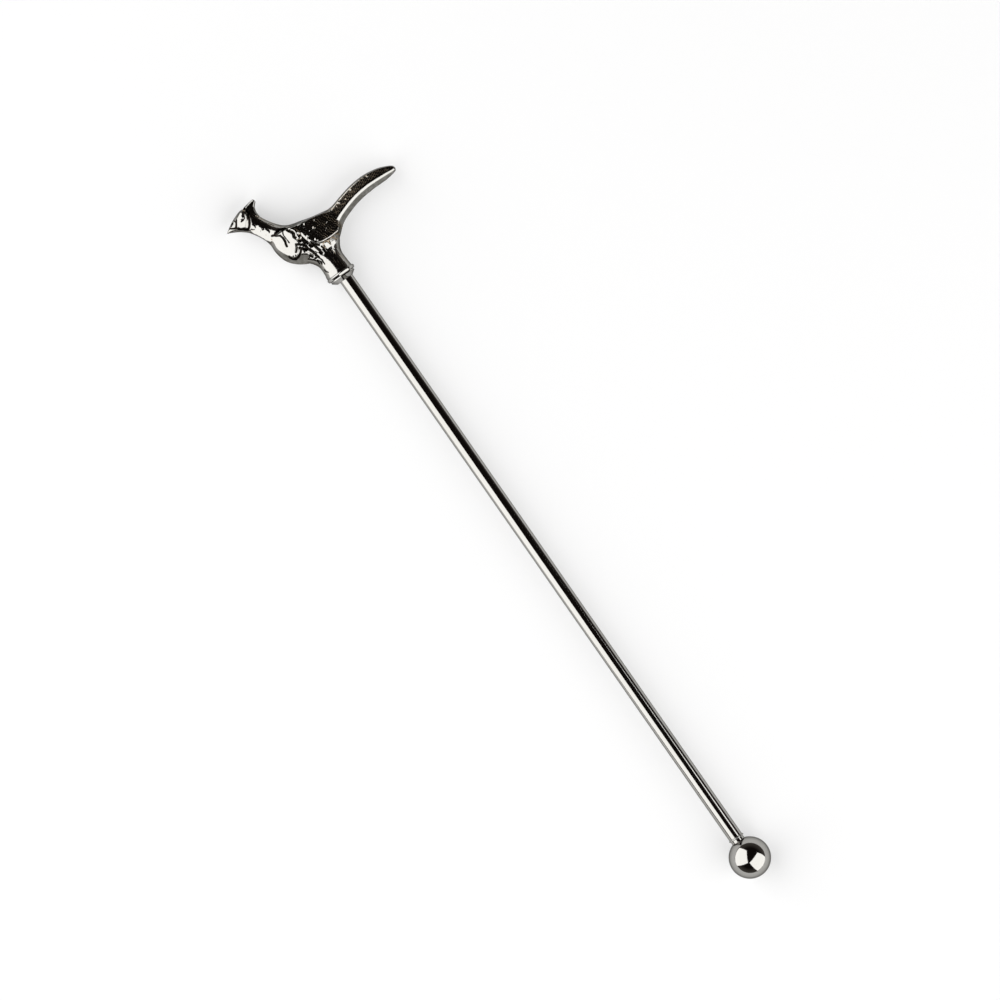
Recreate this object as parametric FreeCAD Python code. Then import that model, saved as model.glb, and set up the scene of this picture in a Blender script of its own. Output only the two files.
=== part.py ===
# A drink stirrer: a cast pheasant on a collar, a plain round rod and a ball, all one piece under one bright finish.
# All lengths are in millimetres. The stirrer is made upright, with the rod's axis along +Z, the ball's centre at
# the origin and the bird facing -X. The last step lays it down on its flank, as it comes to rest on a table.
import FreeCAD, Part
import os
from math import asin, atan2, cos, degrees, hypot, log, pi, sin, sqrt
from FreeCAD import Placement, Rotation, Vector

# Rod
rod_radius = 1.75
rod_length = 157.85
rod_sunk_in_bird = 4.0

# Ball, and the flared neck that the rod ends in there
ball_radius = 5.0
groove_radius = 1.8
groove_length = 0.55
neck_radius = 2.0
flare_length = 2.6

# Collar under the bird, which sits a little in front of the rod's axis
collar_radius = 3.7
collar_top = 1.65
collar_edge = 1.0
collar_chamfer = 0.4
collar_foot_radius = 2.4
collar_underside = -0.4
collar_offset = -0.4

# Bird in side view, from the tip of its beak to the tip of its tail. Each station has a point on the throat or
# belly side and a point on the crown or back side, both as (x, z) from where the rod's axis meets the collar's
# foot, then half the bird's width there, and how far up between the two points it is widest.
bird_stations = [
    ((-17.05, 24.2), (-17.0, 24.4), 0.1, 0.5),
    ((-16.5, 24.05), (-16.25, 24.85), 0.42, 0.5),
    ((-15.8, 23.7), (-15.2, 25.5), 0.85, 0.5),
    ((-15.0, 23.3), (-13.6, 26.3), 1.4, 0.5),
    ((-14.2, 22.8), (-11.0, 27.0), 1.9, 0.5),
    ((-13.45, 22.2), (-8.9, 25.6), 1.95, 0.5),
    ((-12.65, 21.5), (-8.35, 23.3), 1.9, 0.5),
    ((-11.75, 20.2), (-7.35, 21.3), 2.0, 0.5),
    ((-10.85, 18.5), (-6.1, 19.5), 2.25, 0.5),
    ((-10.15, 16.4), (-4.6, 18.1), 2.8, 0.5),
    ((-10.15, 14.0), (-2.9, 17.4), 3.4, 0.5),
    ((-9.5, 11.4), (-1.2, 17.0), 3.8, 0.48),
    ((-8.1, 9.4), (0.2, 16.6), 4.0, 0.48),
    ((-5.9, 7.8), (1.6, 16.25), 4.1, 0.48),
    ((-3.2, 6.9), (2.8, 16.0), 4.0, 0.48),
    ((-0.4, 6.7), (3.9, 15.8), 3.7, 0.48),
    ((2.4, 7.3), (4.8, 15.6), 3.2, 0.48),
    ((4.6, 8.7), (5.9, 15.45), 2.6, 0.48),
    ((7.0, 10.7), (7.4, 15.65), 1.9, 0.42),
    ((10.0, 11.95), (10.0, 16.35), 1.5, 0.38),
    ((13.5, 12.85), (13.5, 17.1), 1.4, 0.38),
    ((17.0, 13.2), (17.0, 17.3), 1.3, 0.4),
    ((20.5, 13.25), (20.5, 16.7), 1.1, 0.45),
    ((22.9, 13.6), (22.9, 15.75), 0.8, 0.5),
    ((24.0, 14.0), (24.0, 15.1), 0.45, 0.5),
    ((24.3, 14.4), (24.3, 14.75), 0.12, 0.5),
]
bird_points_around = 10
stations_in_a_panel = 3
flank_height = 12.5

# Thighs, which run together into one feathered stump: height, front, back and half the width.
stump_stations = [
    (0.8, -3.75, 2.95, 3.2),
    (2.0, -3.85, 2.9, 3.15),
    (3.6, -3.55, 2.75, 3.0),
    (5.2, -3.7, 2.8, 3.0),
    (6.8, -4.7, 3.35, 3.3),
    (8.6, -6.3, 4.5, 3.5),
    (10.5, -6.6, 4.6, 3.0),
]
flute_count = 10
flute_depth = 0.15

# Ear tufts: two (x, z) points of each section in side view, then half its width and how far out it stands.
tuft_stations = [
    ((-10.9, 26.2), (-8.8, 24.4), 0.75, 0.55),
    ((-9.7, 27.4), (-8.1, 26.0), 0.55, 0.8),
    ((-7.2, 27.5), (-7.1, 27.3), 0.1, 1.15),
]
tuft_points_around = 6

# Eyes: round bosses right through the head, as (x, z) of their centre
eye_radius = 0.75
eye_edge = 0.15
eye_spread = 2.0
eye_place = (-12.3, 25.5)

# Layers of feathers: how far each stands off the one below it at its root, and how fast it rises to its tips,
# for each station along the bird
feather_lift = 0.1
feather_rise = 0.045
shoulder_station = 11
breast_station = 9
neck_station = 6
wing_tip = (5.5, 9.8)

# Grooves between barbs and between the long feathers
groove_depth = 0.2
groove_width = 0.24
tail_barb_count = 8
tail_barb_start = 7.5
tail_barb_pitch = 1.9
tail_barb_run = 2.2

# Outlines of feathers are cut by plates that reach past both flanks.
plate_reach = 30.0

neck_top = ball_radius + groove_length
rod_start = neck_top + flare_length
bird_base = rod_start + rod_length


# Smooth skins

def at(x, z, y=0.0):
    return Vector(x, y, z)


def through(before, here, after):
    # The control point that brings a cubic skin to here, between the two points beside it
    return here + (here * 2 - before - after) / 6


def oval_ring(low, high, half_width, widest, growth, count):
    # Points around an oval section from low to high, grown all round
    low = at(*low)
    high = at(*high)
    outward = high - low
    outward.normalize()
    low -= outward * growth
    high += outward * growth
    bias = log(widest) / log(0.5)
    ring = []
    for step in range(count):
        angle = 2 * pi * step / count
        share = ((1 - cos(angle)) / 2) ** bias
        side = Vector(0, sin(angle) * (half_width + growth), 0)
        ring.append(low + (high - low) * share + side)
    return ring


def skin(rings, rows_in_a_panel):
    # A closed solid whose smooth skin passes through the rings, in left and right panels of a few rows each
    count = len(rings[0])
    drawn = [[through(ring[i - 1], ring[i], ring[(i + 1) % count]) for i in range(count)] for ring in rings]
    inner = [[through(*points) for points in zip(*drawn[n - 1:n + 2])] for n in range(1, len(drawn) - 1)]
    rows = [drawn[0], *inner, drawn[-1]]
    spans = len(rows) - 3
    surface = Part.BSplineSurface()
    surface.buildFromPolesMultsKnots(
        [[row[i] for row in rows] for i in range(count)],
        [1] * (count + 1),
        [4] + [1] * (spans - 1) + [4],
        [float(knot) for knot in range(count + 1)],
        [float(knot) for knot in range(spans + 1)],
        True, False, 3, 3,
    )
    half = count // 2
    faces = []
    for first in range(0, spans, rows_in_a_panel):
        for side in (0, half):
            panel = surface.copy()
            panel.segment(side, side + half, first, min(first + rows_in_a_panel, spans))
            faces.append(panel.toShape())
    for end in (0, spans):
        faces.append(Part.Face(Part.Wire([surface.vIso(end).toShape()])))
    shell = Part.makeShell(faces)
    shell.sewShape()
    solid = Part.Solid(Part.Shell(shell.Faces))
    if solid.Volume < 0:
        solid.reverse()
    return solid


# Outlines in side view

def line(a, b):
    return Part.LineSegment(at(*a), at(*b)).toShape()


def bowed(a, b, bulge):
    # An arc from a to b that stands out to the left of its run by bulge
    run_x = b[0] - a[0]
    run_z = b[1] - a[1]
    length = hypot(run_x, run_z)
    middle = ((a[0] + b[0]) / 2 - run_z / length * bulge, (a[1] + b[1]) / 2 + run_x / length * bulge)
    return Part.Arc(at(*a), at(*middle), at(*b)).toShape()


def scallops(a, b, count, bulge):
    # A row of feather tips from a to b, each an arc that stands out to the left of the run
    step_x = (b[0] - a[0]) / count
    step_z = (b[1] - a[1]) / count
    corners = [(a[0] + step_x * n, a[1] + step_z * n) for n in range(count)] + [b]
    return [bowed(start, end, bulge) for start, end in zip(corners, corners[1:])]


def plate(edges):
    # A plate through both flanks, with this outline in side view
    face = Part.Face(Part.Wire(edges))
    face.translate(Vector(0, -plate_reach / 2, 0))
    return face.extrude(Vector(0, plate_reach, 0))


def slat(a, b):
    # A thin plate through both flanks, along the run from a to b
    run = at(*b) - at(*a)
    across = Vector(-run.z, 0, run.x)
    across.normalize()
    across *= groove_width / 2
    start = at(*a)
    end = at(*b)
    corners = [start + across, end + across, end - across, start - across, start + across]
    return plate(Part.makePolygon(corners).Edges)


# Bird

def bird_body(lift=0.0, rise=0.0, root=0):
    # Beak, head, neck, body and tail in one skin, which stands off by lift at the root station and more behind it
    rings = []
    for number, station in enumerate(bird_stations):
        growth = lift + rise * (number - root)
        rings.append(oval_ring(*station, max(growth, -groove_depth), bird_points_around))
    return skin(rings, stations_in_a_panel)


def stump():
    # A column with feather flutes all round
    count = 2 * flute_count
    rings = []
    for z, front, back, half_width in stump_stations:
        ring = []
        for step in range(count):
            angle = 2 * pi * step / count
            relief = flute_depth if step % 2 else -flute_depth
            x = (front + back) / 2 + cos(angle) * ((back - front) / 2 + relief)
            ring.append(at(x, z, sin(angle) * (half_width + relief)))
        rings.append(ring)
    return skin(rings, len(rings))


def ear_tuft(side):
    # A pointed, faceted tuft that stands back from the crown over one ear
    sections = []
    for high, low, half_width, spread in tuft_stations:
        ring = oval_ring(low, high, half_width, 0.5, 0.0, tuft_points_around)
        ring = [point + Vector(0, side * spread, 0) for point in ring]
        sections.append(Part.makePolygon([*ring, ring[0]]))
    return Part.makeLoft(sections, True, True)


def eye(side):
    # A round boss with a tapered edge
    outward = Vector(0, side, 0)
    boss = Part.makeCylinder(eye_radius, eye_spread - eye_edge, at(*eye_place), outward)
    edge = Part.makeCone(
        eye_radius, eye_radius - eye_edge, eye_edge, at(*eye_place, side * (eye_spread - eye_edge)), outward
    )
    return boss.fuse(edge)


def head_details():
    return [detail(side) for side in (-1, 1) for detail in (ear_tuft, eye)]


# Feathers

def wing_outlines():
    # The folded wing from the lowest layer out: flight feathers, lower coverts and upper coverts
    flight = [
        line((-4.9, 12.4), (-4.6, 17.0)),
        bowed((-4.6, 17.0), (3.3, 15.6), 0.25),
        bowed((3.3, 15.6), wing_tip, 0.35),
        bowed(wing_tip, (0.2, 8.9), 0.35),
        bowed((0.2, 8.9), (-1.6, 10.3), 0.2),
        bowed((-1.6, 10.3), (-4.9, 12.4), 0.2),
    ]
    lower_coverts = [
        line((-4.9, 12.9), (-4.6, 16.8)),
        bowed((-4.6, 16.8), (1.8, 15.7), 0.2),
        *scallops((1.8, 15.7), (2.2, 10.6), 4, 0.3),
        bowed((2.2, 10.6), (-1.2, 10.9), 0.2),
        bowed((-1.2, 10.9), (-4.9, 12.9), 0.1),
    ]
    upper_coverts = [
        line((-4.9, 13.2), (-4.6, 16.6)),
        line((-4.6, 16.6), (-1.0, 16.1)),
        *scallops((-1.0, 16.1), (-0.9, 11.5), 4, 0.3),
        line((-0.9, 11.5), (-4.9, 13.2)),
    ]
    return [flight, lower_coverts, upper_coverts]


def breast_outlines():
    # The breast's broad feathers, from the lowest one out
    lower_lobe = [
        bowed((-8.9, 14.6), (-8.2, 10.9), -0.2),
        bowed((-8.2, 10.9), (-5.0, 11.0), -0.9),
        bowed((-5.0, 11.0), (-4.2, 14.0), -0.3),
        line((-4.2, 14.0), (-8.9, 14.6)),
    ]
    rear_lobe = [
        bowed((-6.5, 16.7), (-6.9, 13.2), -0.3),
        bowed((-6.9, 13.2), (-4.9, 12.4), -0.5),
        bowed((-4.9, 12.4), (-3.4, 14.2), -0.4),
        bowed((-3.4, 14.2), (-4.6, 17.0), -0.3),
        line((-4.6, 17.0), (-6.5, 16.7)),
    ]
    front_lobe = [
        bowed((-9.0, 16.4), (-8.6, 13.4), -0.3),
        bowed((-8.6, 13.4), (-6.9, 13.3), -0.5),
        bowed((-6.9, 13.3), (-6.7, 16.5), -0.3),
        line((-6.7, 16.5), (-9.0, 16.4)),
    ]
    return [lower_lobe, rear_lobe, front_lobe]


def hackle_outline():
    # The neck's long feathers, which end over the breast in a scalloped ring
    return [
        line((-16.0, 21.4), (-11.9, 16.4)),
        *scallops((-11.9, 16.4), (-4.2, 18.2), 5, -0.35),
        line((-4.2, 18.2), (-4.6, 23.4)),
        line((-4.6, 23.4), (-16.0, 21.4)),
    ]


def feather_coats():
    # Each layer is cut from a skin that stands a little further out and rises towards the feathers' tips
    coats = []
    for number, outline in enumerate(wing_outlines()):
        layer = bird_body(feather_lift * (number + 0.5), feather_rise * (number + 3) / 3, shoulder_station)
        coats.append(layer.common(plate(outline)))
    for number, outline in enumerate(breast_outlines()):
        layer = bird_body(feather_lift * (number + 0.8), feather_rise, breast_station)
        coats.append(layer.common(plate(outline)))
    coats.append(bird_body(0.0, 2 * feather_rise, neck_station).common(plate(hackle_outline())))
    return coats


def tail_point(x, share):
    # The point of the tail's flank at x, share of the way up from its lower edge to its upper edge
    for (low, high, *_), (next_low, next_high, *_) in zip(bird_stations, bird_stations[1:]):
        if low[0] <= x <= next_low[0]:
            along = (x - low[0]) / (next_low[0] - low[0])
            bottom = low[1] + (next_low[1] - low[1]) * along
            top = high[1] + (next_high[1] - high[1]) * along
            return x, bottom + (top - bottom) * share


def tail_barbs():
    # Grooves that slope back and down over the tail's upper flanks
    slats = []
    for number in range(tail_barb_count):
        x = tail_barb_start + tail_barb_pitch * number
        slats.append(slat(tail_point(x, 0.88), tail_point(x + tail_barb_run, 0.5)))
    return Part.makeCompound(slats).cut(bird_body(-groove_depth))


def flight_grooves():
    # Grooves between the flight feathers, which run down to the wing's tip
    starts = [(2.7, 15.3), (3.4, 14.9), (4.1, 14.3)]
    ends = [(4.3, 10.2), (4.8, 10.5), (5.1, 11.0)]
    slats = [slat(start, end) for start, end in zip(starts, ends)]
    floor = bird_body(feather_lift / 2 - groove_depth, feather_rise, shoulder_station)
    return Part.makeCompound(slats).cut(floor)


# Turned forms

def turned(edges):
    # A solid turned about the rod's axis from edges that join end to end, from the axis back to the axis
    first = edges[0].Vertexes[0].Point
    last = edges[-1].Vertexes[-1].Point
    face = Part.Face(Part.Wire([*edges, Part.LineSegment(last, first).toShape()]))
    return face.revolve(Vector(0, 0, 0), Vector(0, 0, 1), 360)


def collar():
    chamfer_start = collar_top - collar_chamfer
    chamfer_end = collar_radius - collar_chamfer
    made = turned([
        line((0, collar_underside), (collar_foot_radius, collar_underside)),
        line((collar_foot_radius, collar_underside), (collar_radius, collar_edge)),
        line((collar_radius, collar_edge), (collar_radius, chamfer_start)),
        line((collar_radius, chamfer_start), (chamfer_end, collar_top)),
        line((chamfer_end, collar_top), (0, collar_top)),
    ])
    made.translate(Vector(collar_offset, 0, 0))
    return made


def rod_and_ball():
    # The ball, a groove, the flared neck and the rod, which ends inside the bird
    ball_top = sqrt(ball_radius ** 2 - groove_radius ** 2)
    rod_end = bird_base + rod_sunk_in_bird
    return turned([
        Part.Arc(at(0, -ball_radius), at(ball_radius, 0), at(groove_radius, ball_top)).toShape(),
        line((groove_radius, ball_top), (groove_radius, neck_top)),
        line((groove_radius, neck_top), (neck_radius, neck_top)),
        line((neck_radius, neck_top), (rod_radius, rod_start)),
        line((rod_radius, rod_start), (rod_radius, rod_end)),
        line((rod_radius, rod_end), (0, rod_end)),
    ])


# Whole stirrer

def pheasant():
    bird = bird_body().multiFuse([stump(), collar(), *head_details()])
    for coat in feather_coats():
        bird = bird.fuse(coat)
    return bird.cut(tail_barbs()).cut(flight_grooves())


def laid_down(upright, flank):
    # Turned over onto its flank, then tipped until ball and flank both touch the table
    reach = bird_base + flank_height
    tip = degrees(asin(ball_radius / hypot(reach, flank)) - atan2(flank, reach))
    on_its_flank = Rotation(Vector(0, 0, 1), -90).multiply(Rotation(Vector(1, 0, 0), -90))
    turn = Rotation(Vector(0, 1, 0), tip).multiply(on_its_flank)
    made = upright.copy()
    made.Placement = Placement(Vector(0, 0, 0), turn)
    box = made.optimalBoundingBox(False, False)
    made.translate(Vector(-box.Center.x, -box.Center.y, -box.ZMin))
    return made


def main():
    os.makedirs("parts", exist_ok=True)
    bird = pheasant()
    flank = bird.optimalBoundingBox(False, False).YMax
    bird.translate(Vector(0, 0, bird_base))
    stirrer = laid_down(bird.fuse(rod_and_ball()), flank)
    stirrer.exportStep("parts/pheasant_stirrer.step")
    print("solids", len(stirrer.Solids), "valid", stirrer.isValid(), "volume", round(stirrer.Volume, 1))
    print("box", stirrer.optimalBoundingBox(False, False))


main()
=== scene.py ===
from math import asin, atan2, cos, hypot, pi, radians, sin

import bmesh
import bpy
import numpy as np
from mathutils import Matrix, Vector


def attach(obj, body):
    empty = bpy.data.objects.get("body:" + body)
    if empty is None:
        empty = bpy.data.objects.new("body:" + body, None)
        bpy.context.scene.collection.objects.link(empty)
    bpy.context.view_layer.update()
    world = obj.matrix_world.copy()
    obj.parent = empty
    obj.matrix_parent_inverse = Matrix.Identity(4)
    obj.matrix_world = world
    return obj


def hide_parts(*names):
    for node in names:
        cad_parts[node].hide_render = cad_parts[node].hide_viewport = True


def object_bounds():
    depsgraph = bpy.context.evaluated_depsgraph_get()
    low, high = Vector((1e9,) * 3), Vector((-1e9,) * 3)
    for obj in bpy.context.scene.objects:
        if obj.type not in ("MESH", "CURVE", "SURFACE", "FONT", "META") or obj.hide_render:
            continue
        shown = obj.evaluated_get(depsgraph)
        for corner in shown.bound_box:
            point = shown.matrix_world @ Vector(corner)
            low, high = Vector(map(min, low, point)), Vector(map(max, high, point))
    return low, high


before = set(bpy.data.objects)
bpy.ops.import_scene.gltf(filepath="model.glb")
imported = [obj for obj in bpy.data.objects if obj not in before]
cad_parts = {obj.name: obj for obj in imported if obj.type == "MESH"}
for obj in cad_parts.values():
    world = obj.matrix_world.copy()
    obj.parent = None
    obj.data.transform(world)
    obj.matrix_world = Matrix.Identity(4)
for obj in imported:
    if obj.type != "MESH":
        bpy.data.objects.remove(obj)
cadLow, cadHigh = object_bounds()
print("frame loaded")


# Where things are. The bird is modelled in millimetres with the rod upright: x from beak to tail, z up the
# rod, zero where the rod's axis meets the collar's foot. Each finished mesh is then laid down where the CAD
# piece lies: on the ball at one end and on the bird's flank at the other.

millimetre = 0.001

lying = {
    "ballRadius": 5.0,
    "rodRadius": 1.75,
    "collarFoot": 166.0,       # up from the ball's centre
    "tailReach": 24.3,         # rear of the rod's axis
    "flankWidth": 4.1,         # where the flank touches the table, out from the rod's axis
    "flankHeight": 12.5,       # and up from the collar's foot
}


def layDownMatrix(setting):
    reach = setting["collarFoot"] + setting["flankHeight"]
    flankAngle = atan2(setting["flankWidth"], reach)
    tip = asin(setting["ballRadius"] / hypot(reach, setting["flankWidth"])) - flankAngle
    onItsFlank = Matrix(((0, 0, 1, 0), (-1, 0, 0, 0), (0, -1, 0, 0), (0, 0, 0, 1)))
    ballCentre = Vector((cadLow.x + setting["ballRadius"] * millimetre,
                         cadLow.y + setting["tailReach"] * millimetre,
                         setting["ballRadius"] * millimetre))
    up = Matrix.Translation((0, 0, setting["collarFoot"]))
    placed = Matrix.Translation(ballCentre) @ Matrix.Rotation(tip, 4, "Y")
    return placed @ onItsFlank @ Matrix.Scale(millimetre, 4) @ up


layDown = layDownMatrix(lying)
ballMiddle = layDown @ Vector((0, 0, -lying["collarFoot"]))


# Camera, straight down as the photograph is taken

cameraSettings = {
    "photoSide": 0.2347,       # metres across the picture
    "lens": 240,
    "sensor": 36,
    "clipping": (0.01, 20),
    "turn": -124.87,
    "centre": (0.10236, 0.00014),   # from the ball's centre to the middle of the picture
}


def makeCamera(setting):
    aim = ballMiddle + Vector((*setting["centre"], 0))
    distance = setting["photoSide"] * setting["lens"] / setting["sensor"]
    above = (aim.x, aim.y, aim.z + distance)
    bpy.ops.object.camera_add(location=above, rotation=(0, 0, radians(setting["turn"])))
    camera = bpy.context.object
    camera.name = "photoCamera"
    camera.data.lens = setting["lens"]
    camera.data.sensor_width = setting["sensor"]
    camera.data.clip_start, camera.data.clip_end = setting["clipping"]
    bpy.context.scene.camera = camera
    return camera


photoCamera = makeCamera(cameraSettings)
photoTurn = photoCamera.matrix_world.to_3x3()
print("camera placed")


# Shape tools

def clearSelection():
    if bpy.context.object and bpy.context.object.mode != "OBJECT":
        bpy.ops.object.mode_set(mode="OBJECT")
    bpy.ops.object.select_all(action="DESELECT")


def makeActive(piece):
    clearSelection()
    piece.select_set(True)
    bpy.context.view_layer.objects.active = piece


def applyModifier(piece, kind, **values):
    makeActive(piece)
    modifier = piece.modifiers.new(kind.lower(), kind)
    for key, value in values.items():
        setattr(modifier, key, value)
    bpy.ops.object.modifier_apply(modifier=modifier.name)


def recalculateNormals(piece):
    makeActive(piece)
    bpy.ops.object.mode_set(mode="EDIT")
    bpy.ops.mesh.select_all(action="SELECT")
    bpy.ops.mesh.remove_doubles(threshold=0.00001)
    bpy.ops.mesh.normals_make_consistent(inside=False)
    bpy.ops.object.mode_set(mode="OBJECT")


def extrudeAlong(name, rings):
    # One ring of points is drawn, then extruded from section to section and closed at both ends
    clearSelection()
    bpy.ops.mesh.primitive_circle_add(vertices=len(rings[0]), radius=1, fill_type="NGON")
    piece = bpy.context.object
    piece.name = name
    bpy.ops.object.mode_set(mode="EDIT")
    for number, ring in enumerate(rings):
        if number:
            bpy.ops.mesh.extrude_region_move()
        mesh = bmesh.from_edit_mesh(piece.data)
        mesh.verts.ensure_lookup_table()
        rim = [vert for vert in mesh.verts if vert.select]
        for vert, place in zip(sorted(rim, key=lambda v: v.index), ring):
            vert.co = place
        bmesh.update_edit_mesh(piece.data)
    bpy.ops.object.mode_set(mode="OBJECT")
    recalculateNormals(piece)
    return piece


def spinProfile(name, profile, centreX=0.0, steps=96):
    # A profile of (radius, height) points, extruded point by point and spun about the rod's axis
    clearSelection()
    bpy.ops.mesh.primitive_plane_add(size=1)
    piece = bpy.context.object
    piece.name = name
    bpy.ops.object.mode_set(mode="EDIT")
    bpy.ops.mesh.merge(type="CENTER")
    for number, (radius, height) in enumerate(profile):
        if number:
            bpy.ops.mesh.extrude_vertices_move()
        mesh = bmesh.from_edit_mesh(piece.data)
        for vert in mesh.verts:
            if vert.select:
                vert.co = (radius, 0, height)
        bmesh.update_edit_mesh(piece.data)
    bpy.ops.mesh.select_all(action="SELECT")
    bpy.ops.mesh.spin(steps=steps, angle=2 * pi, center=(0, 0, 0), axis=(0, 0, 1))
    bpy.ops.mesh.select_all(action="SELECT")
    bpy.ops.mesh.remove_doubles(threshold=0.0001)
    bpy.ops.transform.translate(value=(centreX, 0, 0))
    bpy.ops.object.mode_set(mode="OBJECT")
    recalculateNormals(piece)
    return piece


def arcPoints(centre, radius, startAngle, endAngle, steps):
    angles = [radians(startAngle + (endAngle - startAngle) * step / steps) for step in range(steps + 1)]
    return [(centre[0] + radius * cos(angle), centre[1] + radius * sin(angle)) for angle in angles]


def finishPiece(piece, smoothAngle=None):
    # Laid down in place, shaded smooth, and handed to the frame
    piece.data.transform(layDown)
    makeActive(piece)
    if smoothAngle:
        bpy.ops.object.shade_smooth_by_angle(angle=radians(smoothAngle))
    else:
        bpy.ops.object.shade_smooth()
    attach(piece, "root")
    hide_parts("pheasant_stirrer")
    return piece


# Pheasant: sections from the tip of the beak to the tip of the tail. Each has a point on the throat or belly
# side, a point on the crown or back side, half the width, how far it has the tail's flat-sided form, and how
# far its underside narrows to a keel.

birdSettings = {
    "sections": [
        ((-17.05, 24.2), (-17.0, 24.4), 0.1, 0, 0),
        ((-16.5, 24.05), (-16.25, 24.85), 0.42, 0, 0),
        ((-15.8, 23.7), (-15.2, 25.5), 0.85, 0, 0),
        ((-15.0, 23.3), (-13.6, 26.3), 1.4, 0, 0),
        ((-14.2, 22.8), (-11.0, 27.0), 1.9, 0, 0),
        ((-13.45, 22.2), (-8.9, 25.6), 1.95, 0, 0),
        ((-12.65, 21.5), (-8.35, 23.3), 1.9, 0, 0),
        ((-11.75, 20.2), (-7.35, 21.3), 2.0, 0, 0),
        ((-10.85, 18.5), (-6.1, 19.5), 2.25, 0, 0),
        ((-10.15, 16.4), (-4.6, 18.1), 2.8, 0, 0),
        ((-10.15, 14.0), (-2.9, 17.4), 3.4, 0, 0),
        ((-9.5, 11.4), (-1.2, 17.0), 3.8, 0, 0.35),
        ((-8.1, 9.4), (0.2, 16.6), 4.0, 0, 1),
        ((-5.9, 7.8), (1.6, 16.25), 4.1, 0, 1),
        ((-3.2, 6.9), (2.8, 16.0), 4.0, 0, 0.7),
        ((-0.4, 6.7), (3.9, 15.8), 3.7, 0.1, 0.3),
        ((2.4, 7.3), (4.8, 15.6), 3.2, 0.3, 0),
        ((4.6, 8.7), (5.9, 15.45), 2.6, 0.6, 0),
        ((7.0, 10.7), (7.4, 15.65), 2.2, 0.95, 0),
        ((10.0, 11.95), (10.0, 16.35), 2.1, 1, 0),
        ((13.5, 12.85), (13.5, 17.1), 2.05, 1, 0),
        ((17.0, 13.2), (17.0, 17.3), 1.95, 1, 0),
        ((20.5, 13.25), (20.5, 16.8), 1.7, 1, 0),
        ((22.9, 13.5), (22.9, 15.9), 1.05, 1, 0),
        ((24.0, 13.85), (24.0, 15.25), 0.65, 0.6, 0),
        ((24.3, 14.4), (24.3, 14.75), 0.12, 0, 0),
    ],
    # A section's half width, as shares of the widest, at shares of the way from the belly to the back
    "tailShares": [0, 0.02, 0.28, 0.42, 0.91, 1.0, 1.0],
    "tailWidths": [0, 0.08, 0.90, 1.0, 0.975, 0.55, 0],
    "keelShares": [0, 0.03, 0.20, 0.30, 0.45, 0.65, 0.85, 0.96, 1.0],
    "keelWidths": [0, 0.12, 0.84, 0.92, 0.98, 1.0, 0.78, 0.42, 0],
    "pointsAround": 64,
    "stepsBetween": 5,
    "stump": [                 # height, front, back, half width
        (0.8, -3.7, 2.9, 3.1),
        (2.0, -3.9, 2.9, 3.15),
        (3.2, -3.7, 2.8, 3.05),
        (5.2, -3.7, 2.75, 2.95),
        (6.8, -4.5, 3.2, 3.0),
        (8.6, -6.0, 4.3, 3.0),
        (10.5, -6.4, 4.6, 2.6),
    ],
    "stumpPoints": 48,
    "stumpSteps": 6,
    "tuft": [                  # two side-view points, half width, spread
        ((-11.0, 26.6), (-8.3, 23.0), 0.95, 0.5),
        ((-10.4, 27.1), (-8.4, 24.6), 0.85, 0.55),
        ((-9.2, 27.3), (-8.1, 25.7), 0.65, 0.65),
        ((-8.0, 27.5), (-7.5, 26.4), 0.5, 0.8),
        ((-7.4, 27.5), (-7.15, 26.7), 0.4, 0.95),
    ],
    "tuftPoints": 24,
    "wing": [(-3.0, 16.9), (-0.4, 16.5), (3.6, 15.9), (5.9, 15.0), (6.4, 12.6), (6.0, 10.2), (4.9, 9.4),
             (2.6, 9.3), (0.4, 9.5), (-1.2, 10.1), (-2.2, 11.4), (-2.7, 13.2), (-2.9, 15.2)],
    "wingEdge": 0.45,
    "wingThickness": 4.2,
    "wingFoot": (9.3, 0.004),      # from what height the wing thins towards the back, and how fast
    "wingCrown": (13.0, 0.008),    # and from what height it thins faster
    "wingRear": (-2.0, 0.018),     # behind what place it thins towards the tail, and how fast
    "wingRearPower": 2.2,
    "breastPlate": [(-9.4, 16.8), (-8.6, 17.3), (-6.5, 17.4), (-4.4, 17.2), (-2.4, 16.6), (-2.0, 13.4),
                    (-2.2, 11.6), (-3.9, 11.7), (-4.9, 11.2), (-5.6, 10.5), (-6.7, 10.1), (-7.6, 10.4),
                    (-8.3, 11.3), (-9.0, 12.8), (-9.4, 14.8)],
    "breastEdge": 0.4,
    "breastRidge": (-3.6, 4.05),   # where the plate crests, and how high
    "breastFall": 0.056,
    "plateMidline": (0.8, 1.8),    # out from the midline, where a plate starts to rise and is full
    "neckPlate": [(-11.4, 22.5), (-10.7, 22.4), (-10.2, 21.6), (-9.8, 21.6), (-9.4, 20.7), (-9.45, 20.2),
                  (-8.9, 19.9), (-8.5, 19.0), (-8.6, 18.6), (-8.0, 18.3), (-8.4, 17.3), (-9.6, 16.3),
                  (-10.5, 17.5), (-11.35, 19.2), (-12.1, 20.7), (-12.0, 21.8)],
    "cheekPlate": [(-12.6, 26.2), (-11.7, 26.7), (-10.9, 26.5), (-10.6, 26.0), (-10.6, 25.1), (-11.1, 24.2),
                   (-11.7, 23.5), (-12.4, 22.6), (-13.4, 22.9), (-14.1, 23.6), (-13.9, 24.4), (-13.7, 25.2),
                   (-13.2, 25.9)],
    "lobeEdge": 0.3,
    "neckCrest": (-9.3, 20.0, 2.2),   # a point on the plate and how high it lies
    "cheekCrest": (-11.3, 24.0, 2.32),
    "lobeSlope": (0.32, 0.03),     # how fast a lobe rises towards the tail, and up the bird
    "lobeMidline": (0.3, 0.9),
    "outside": -0.1,               # how far outside its outline a plate starts to rise
    "voxel": 0.124,
    "smoothing": 4,
    "smoothingFactor": 0.5,
}


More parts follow.
